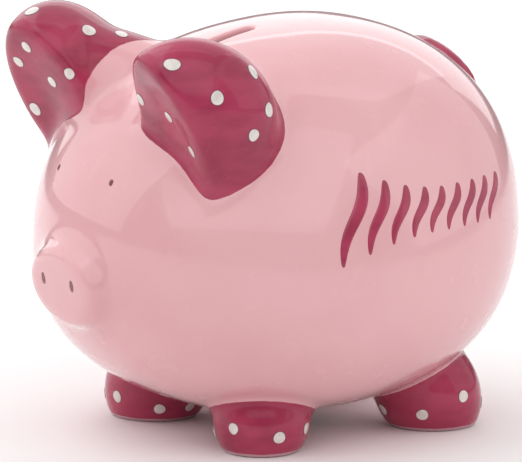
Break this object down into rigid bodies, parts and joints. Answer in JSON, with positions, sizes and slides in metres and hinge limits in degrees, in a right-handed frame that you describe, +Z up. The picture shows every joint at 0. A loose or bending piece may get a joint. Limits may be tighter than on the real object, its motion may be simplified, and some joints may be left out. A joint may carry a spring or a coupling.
{
  "type": "ceramic piggy bank",
  "caption": "Glazed ceramic piggy bank: a hollow round pig on short feet, with forward ears, a curled tail, a coin slot in its back and a rubber stopper under its belly.",
  "frame": {"origin": "centre of the bounding box at the floor, which the four soles stand on", "axes": "+Z up; the pig faces -Y and its left flank, with the painted strokes, is +X"},
  "size_m": [0.1772, 0.1968, 0.1693],
  "materials": {
    "pink_glaze": "very glossy clear glaze over pale pink",
    "rose_glaze": "very glossy dark rose brushwork under the glaze",
    "white_enamel": "slightly raised cream white dots, glossy",
    "stopper_rubber": "matt pale grey rubber"
  },
  "bodies": {
    "root": {"bank_body": "pink_glaze", "rubber_stopper": "stopper_rubber"}
  },
  "joints": []
}
